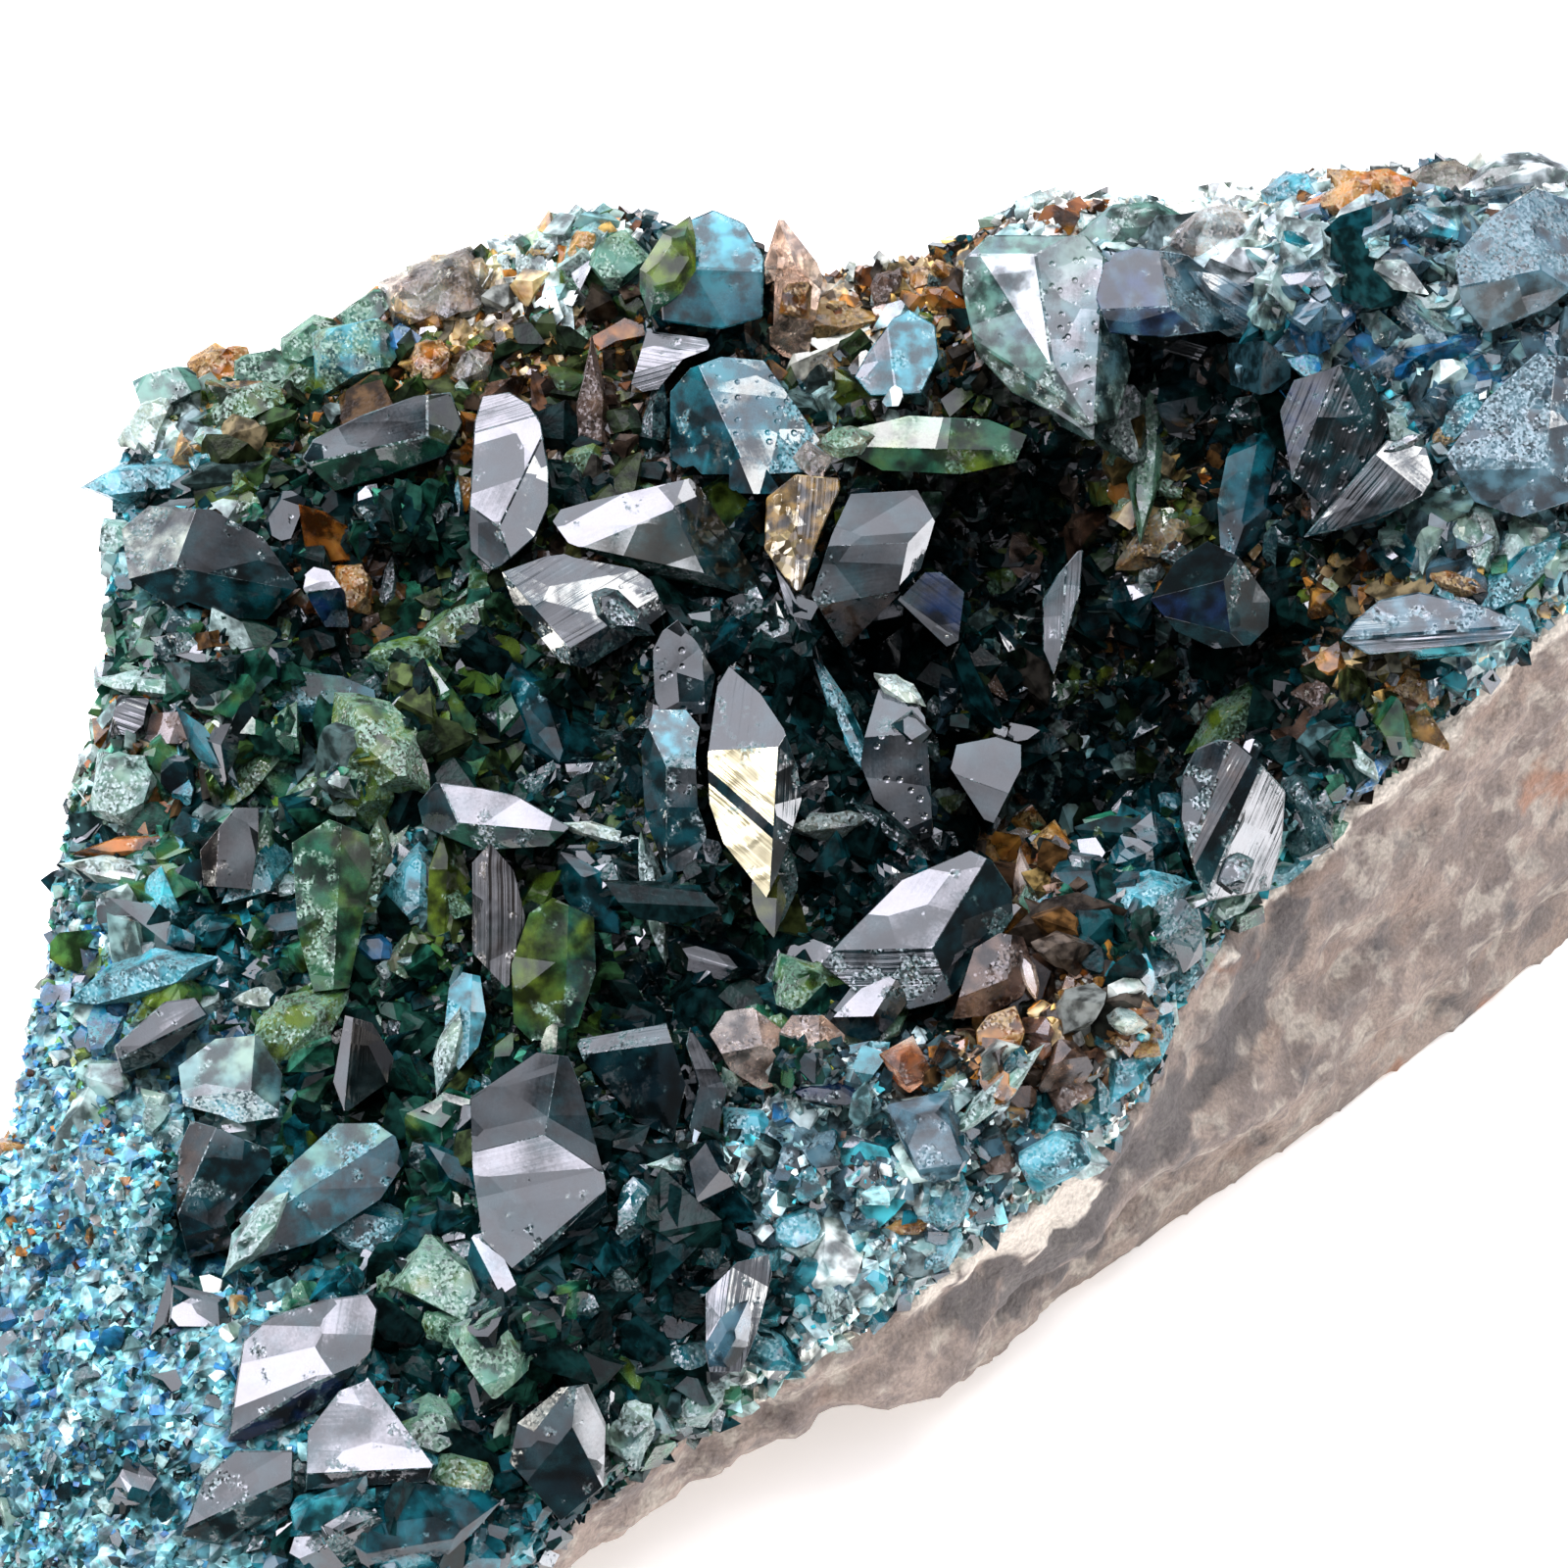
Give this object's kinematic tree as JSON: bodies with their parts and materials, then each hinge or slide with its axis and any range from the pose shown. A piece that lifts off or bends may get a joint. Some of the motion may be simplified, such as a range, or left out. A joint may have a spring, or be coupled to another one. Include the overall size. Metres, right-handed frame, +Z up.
{
  "type": "lazulite and kulanite specimen",
  "caption": "Mineral specimen: dark wedge-shaped crystals and blue-green druse on a sloping slab of grey-brown rock with a flat base to rest on.",
  "frame": {"origin": "on the flat underside, below the middle of the crystal face", "axes": "+Z up from the flat underside, -Y towards the viewer of the crystal face, +X to the viewer's right"},
  "size_m": [0.0487, 0.0421, 0.0209],
  "materials": {
    "kulanite": "vitreous, dark blue-green to black, nearly opaque",
    "lazulite": "vitreous, translucent teal to pale turquoise",
    "quartz": "clear to pinkish brown, glassy",
    "siderite": "golden brown, glassy cleavages",
    "crust": "fine sparkling druse, blue-green with brown and pale grains",
    "ironstone": "dull, rough, broken grey-brown rock"
  },
  "bodies": {
    "root": {"kulanite_bright_prism": "kulanite", "kulanite_wedge_pair": "kulanite", "kulanite_stepped_plate": "kulanite", "kulanite_pitted": "kulanite", "kulanite_golden": "kulanite", "kulanite_dark_column": "kulanite", "kulanite_block": "kulanite", "kulanite_fin": "kulanite", "kulanite_large_tabular": "kulanite", "kulanite_striated": "kulanite", "kulanite_front_block": "kulanite", "kulanite_dark_wedge": "kulanite", "kulanite_dark_wedge_tip": "kulanite", "kulanite_front_pair": "kulanite", "kulanite_front_pyramid": "kulanite", "kulanite_low_facet": "kulanite", "kulanite_front_dark_cube": "kulanite", "lazulite_pale_crystal": "lazulite", "kulanite_chevron": "kulanite", "kulanite_lamellar": "kulanite", "kulanite_left_wedge": "kulanite", "kulanite_left_facets": "kulanite", "kulanite_small_bright": "kulanite", "lazulite_teal_top": "lazulite", "lazulite_rim_dark": "lazulite", "kulanite_step_bright": "kulanite", "lazulite_blue_small": "lazulite", "lazulite_long_green": "lazulite", "kulanite_ribbed_blade": "kulanite", "kulanite_dark_ball": "kulanite", "kulanite_ribbed_bar": "kulanite", "lazulite_grey_mass": "lazulite", "lazulite_grey_slab": "lazulite", "kulanite_wedge_left": "kulanite", "lazulite_tall_green": "lazulite", "kulanite_tall_dark": "kulanite", "lazulite_olive": "lazulite", "kulanite_vug_blades": "kulanite", "kulanite_vug_facet": "kulanite", "lazulite_pale_tablet": "lazulite", "kulanite_dark_hexagon": "kulanite", "lazulite_lilac_block": "lazulite", "kulanite_brown_facet": "kulanite", "kulanite_lilac_tablet": "kulanite", "lazulite_turquoise_column": "lazulite", "kulanite_low_striated": "kulanite", "quartz_rim_point": "quartz", "quartz_cluster_front": "quartz", "quartz_pale_point": "quartz", "quartz_smoky_round": "quartz", "quartz_amber": "quartz", "siderite_orange_block": "siderite", "siderite_golden_column": "siderite", "kulanite_shelf_shards": "kulanite", "kulanite_edge_facet": "kulanite", "lazulite_dark_left": "lazulite", "lazulite_crust": "crust", "matrix_rock": "ironstone"}
  },
  "joints": []
}
